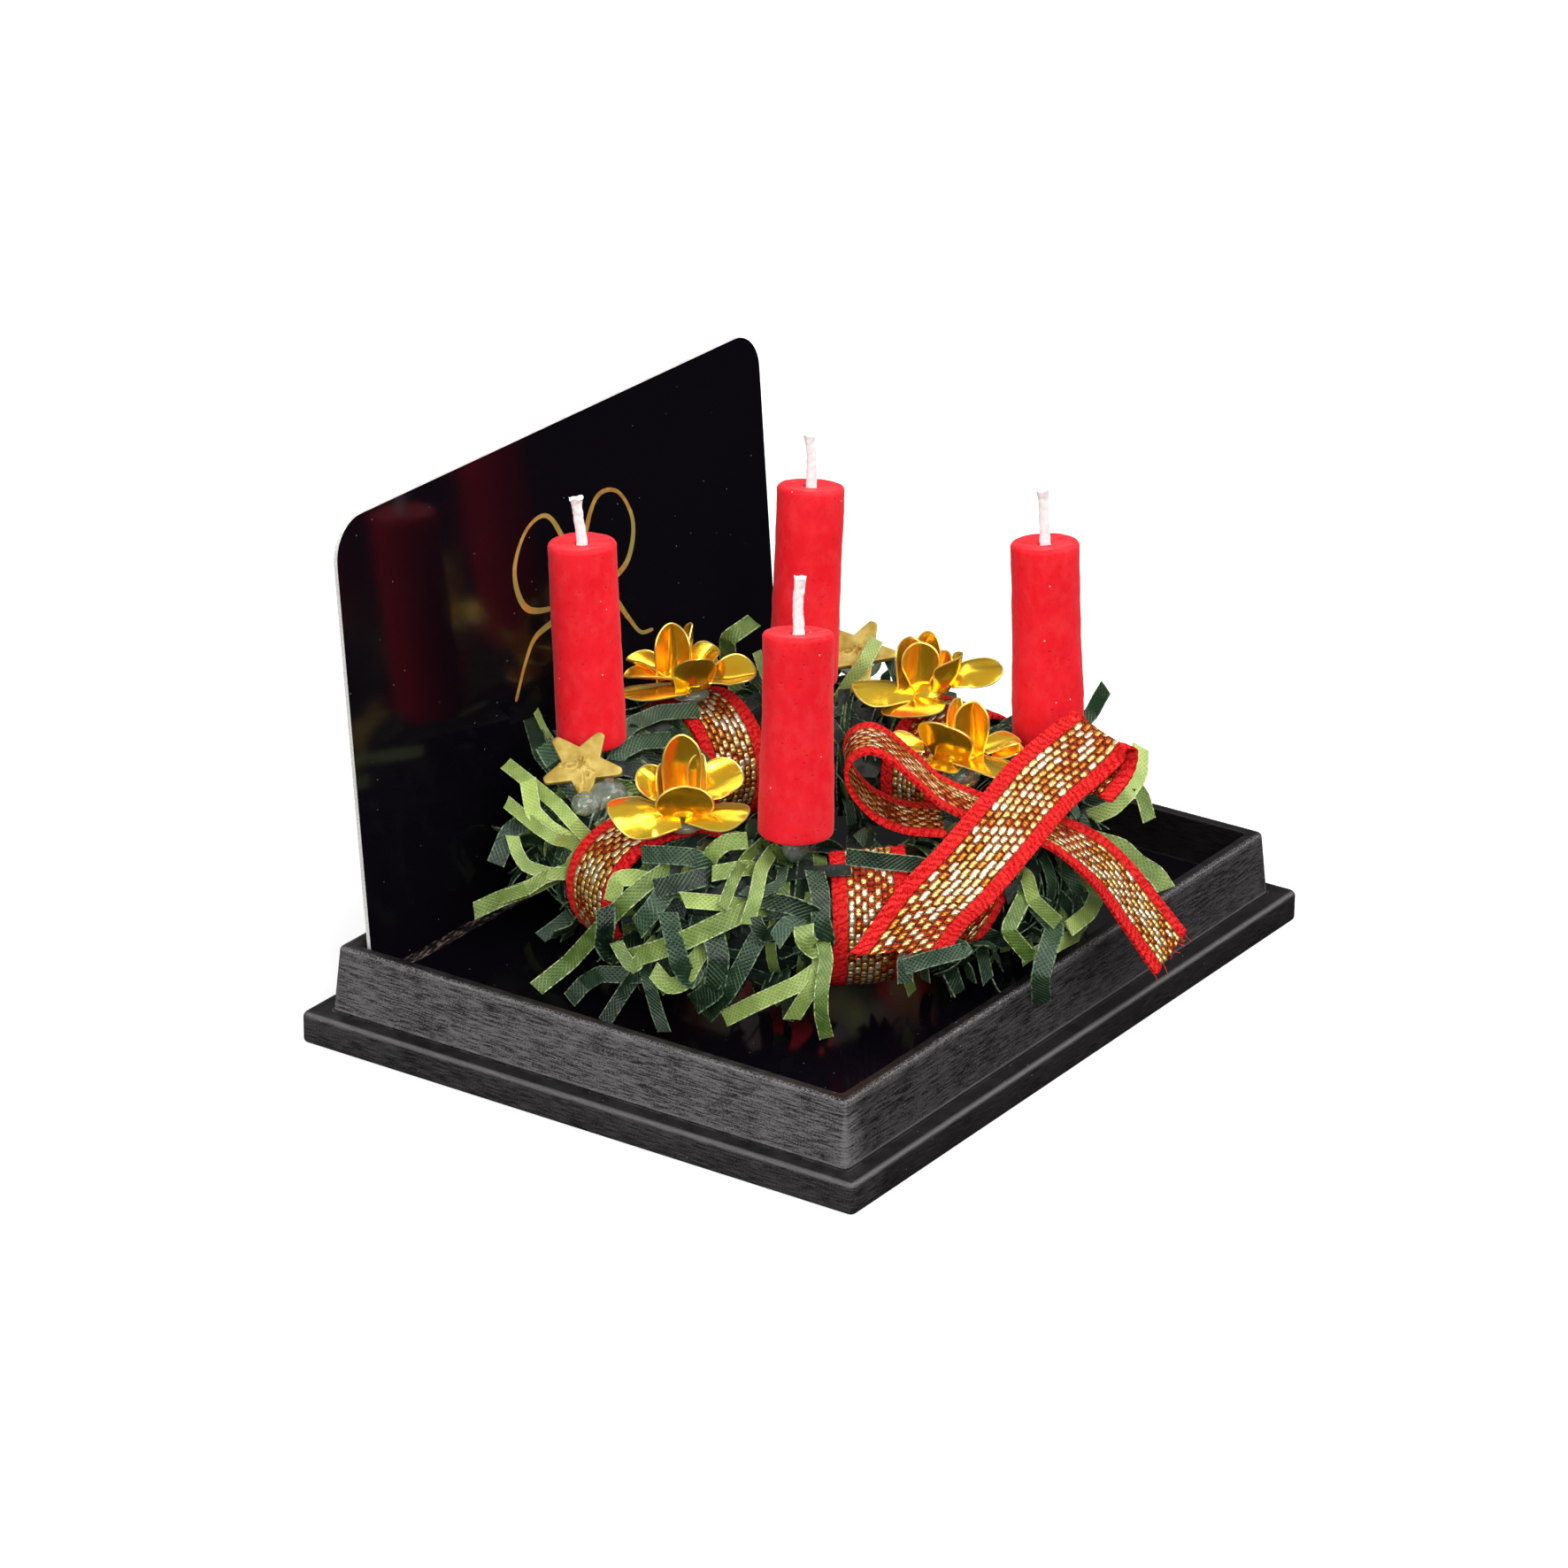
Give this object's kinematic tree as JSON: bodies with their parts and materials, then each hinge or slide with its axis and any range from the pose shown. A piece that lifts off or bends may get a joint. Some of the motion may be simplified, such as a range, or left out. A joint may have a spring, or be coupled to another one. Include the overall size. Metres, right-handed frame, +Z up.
{
  "type": "miniature advent wreath",
  "caption": "Miniature advent wreath of foil strips with red candles, gold foil flowers and stars and a ribbon bow, on a black display tray with a folded backdrop card.",
  "frame": {"origin": "middle of the display tray's underside", "axes": "+Z up; the backdrop card stands at +Y and faces -Y; +X to the right seen from the open front"},
  "size_m": [0.06, 0.0514, 0.0388],
  "materials": {
    "black_plastic": "satin black moulding with fine drawn streaks",
    "black_card": "glossy black lacquered card with a white core at the cut edges",
    "steel_wire": "drawn wire",
    "green_foil": "embossed foil strips, dark green on one side and yellow green on the other",
    "red_gold_ribbon": "woven red ribbon with a gold lurex middle",
    "red_wax": "matt red wax",
    "cotton": "white twisted cotton",
    "gold_foil": "mirror bright amber gold metallised film",
    "pale_gold_foil": "pale satin gold metallised film",
    "clear_glue": "clear set hot glue"
  },
  "bodies": {
    "root": {"display_tray": "black_plastic", "backdrop_card": "black_card", "wire_ring": "steel_wire", "foliage_1": "green_foil", "foliage_2": "green_foil", "foliage_3": "green_foil", "foliage_4": "green_foil", "foliage_5": "green_foil", "foliage_6": "green_foil", "foliage_7": "green_foil", "foliage_8": "green_foil", "foliage_9": "green_foil", "ribbon_wrap_left": "red_gold_ribbon", "ribbon_wrap_back": "red_gold_ribbon", "ribbon_wrap_right": "red_gold_ribbon", "ribbon_wrap_front": "red_gold_ribbon", "ribbon_wrap_bow_end": "red_gold_ribbon", "bow_back": "red_gold_ribbon", "bow_front": "red_gold_ribbon", "candle_left": "red_wax", "wick_left": "cotton", "candle_back": "red_wax", "wick_back": "cotton", "candle_right": "red_wax", "wick_right": "cotton", "candle_front": "red_wax", "wick_front": "cotton", "foil_flower_left": "gold_foil", "foil_flower_back": "gold_foil", "foil_flower_right": "gold_foil", "foil_flower_front": "gold_foil", "foil_star_left": "pale_gold_foil", "foil_star_back": "pale_gold_foil", "candle_glue_left": "clear_glue", "candle_glue_back": "clear_glue", "candle_glue_right": "clear_glue", "candle_glue_front": "clear_glue", "flower_glue_left": "clear_glue", "flower_glue_back": "clear_glue", "flower_glue_right": "clear_glue", "flower_glue_front": "clear_glue", "star_glue_left": "clear_glue", "star_glue_back": "clear_glue"}
  },
  "joints": []
}
